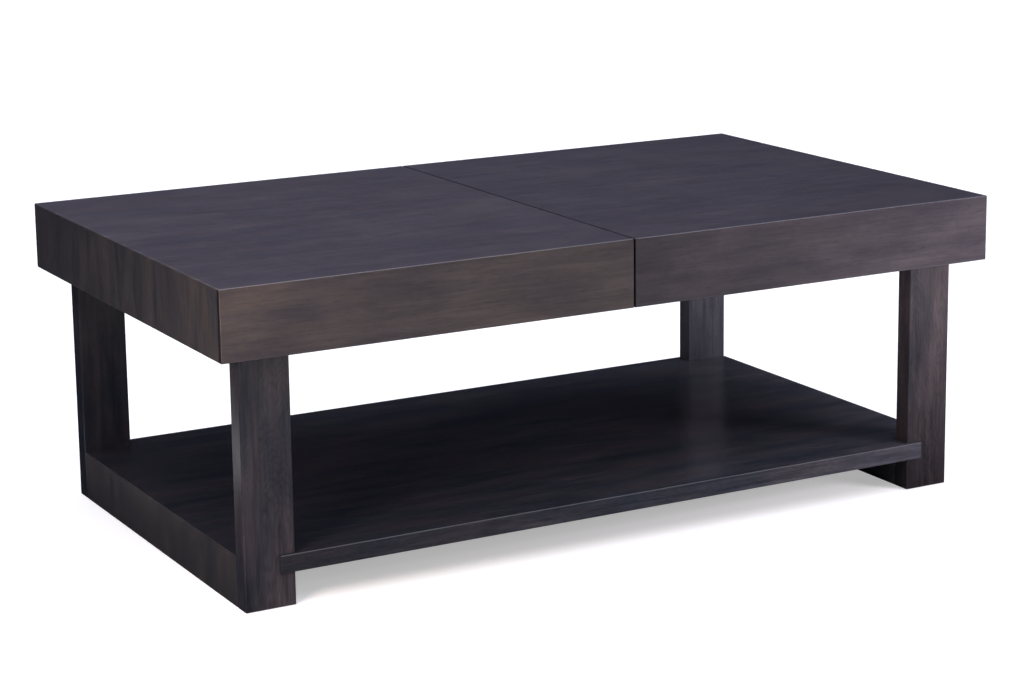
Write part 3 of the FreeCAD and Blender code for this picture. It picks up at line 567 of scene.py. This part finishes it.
def make_world():
    """A dim room that is darkest near the horizon and dimmer towards +X. The camera itself sees a
    pale backdrop instead."""
    world = bpy.data.worlds.new("studio")
    world.use_nodes = True
    tree = world.node_tree
    background = tree.nodes["Background"]
    towards = tree.nodes.new("ShaderNodeTexCoord")
    split = tree.nodes.new("ShaderNodeSeparateXYZ")
    tree.links.new(towards.outputs["Generated"], split.inputs["Vector"])
    ramp = tree.nodes.new("ShaderNodeValToRGB")
    tree.links.new(split.outputs["Z"], ramp.inputs["Fac"])
    for stop, place, colour in zip(ramp.color_ramp.elements, ROOM_STOPS, (ROOM_LOW, ROOM_HIGH)):
        stop.position, stop.color = place, (*colour, 1.0)
    side = tree.nodes.new("ShaderNodeMapRange")
    tree.links.new(split.outputs["X"], side.inputs["Value"])
    for socket, number in zip(list(side.inputs)[1:], ROOM_SIDE):
        socket.default_value = number
    dimmed = tree.nodes.new("ShaderNodeVectorMath")
    dimmed.operation = "SCALE"
    tree.links.new(ramp.outputs["Color"], dimmed.inputs[0])
    tree.links.new(side.outputs["Result"], dimmed.inputs["Scale"])
    path = tree.nodes.new("ShaderNodeLightPath")
    mix = tree.nodes.new("ShaderNodeMix")
    mix.data_type = "RGBA"
    tree.links.new(path.outputs["Is Camera Ray"], mix.inputs["Factor"])
    colours = [i for i in mix.inputs if i.type == "RGBA"]
    tree.links.new(dimmed.outputs["Vector"], colours[0])
    colours[1].default_value = BACKDROP
    tree.links.new([o for o in mix.outputs if o.type == "RGBA"][0], background.inputs["Color"])
    bpy.context.scene.world = world


def make_lights():
    make_world()
    sun("overhead", 0.0, 84.0, 2.7, 90.0, (0.91, 0.94, 1.0))
    area_light("above_left", (-0.7, 0.2, 1.9), (-0.5, 0.0, 0.47), (1.0, 1.0), 4.0,
               (0.95, 0.95, 1.0))
    area_light("right", (1.5, -1.6, 0.66), (0.55, -0.3, 0.30), (0.6, 0.4), 23.0,
               (1.0, 0.93, 0.99), mirrored=False)
    area_light("left", (-1.2, -0.75, 0.55), (-0.65, -0.35, 0.38), (0.3, 0.3), 8.0,
               (1.0, 0.81, 0.69), mirrored=False)
    area_light("front_card", (0.9, -2.3, 0.02), (0.9, -2.3, 1.0), (4.0, 2.4), 22.0,
               (0.93, 0.95, 1.0))
    area_light("side_card", (-0.90, 0.40, 0.005), (-0.90, 0.40, 1.0), (0.18, 0.20), 0.36,
               (1.0, 0.96, 0.99))
    bpy.context.scene.view_settings.view_transform = "Standard"


CAMERA_PLACE = (-1.9105, -3.4920, 1.1968)
CAMERA_AZIMUTH, CAMERA_ELEVATION, CAMERA_ROLL = -29.136, 11.698, -0.657
CAMERA_LENS, CAMERA_SENSOR = 90.9, 36.0
CAMERA_SHIFT = (-0.0176, -0.0752)


def make_camera():
    data = bpy.data.cameras.new("camera")
    data.sensor_width = CAMERA_SENSOR
    data.lens = CAMERA_LENS
    data.shift_x, data.shift_y = CAMERA_SHIFT
    camera = bpy.data.objects.new("camera", data)
    camera.location = CAMERA_PLACE
    camera.rotation_mode = "QUATERNION"
    ahead = -direction(CAMERA_AZIMUTH, CAMERA_ELEVATION)
    roll = Quaternion((0.0, 0.0, 1.0), math.radians(CAMERA_ROLL))
    camera.rotation_quaternion = ahead.to_track_quat("-Z", "Y") @ roll
    bpy.context.collection.objects.link(camera)
    bpy.context.scene.camera = camera


make_camera()
materials = {**make_woods(), **make_fittings()}
dress(materials)
make_springs(materials["left_springs"])
make_floor()
make_lights()
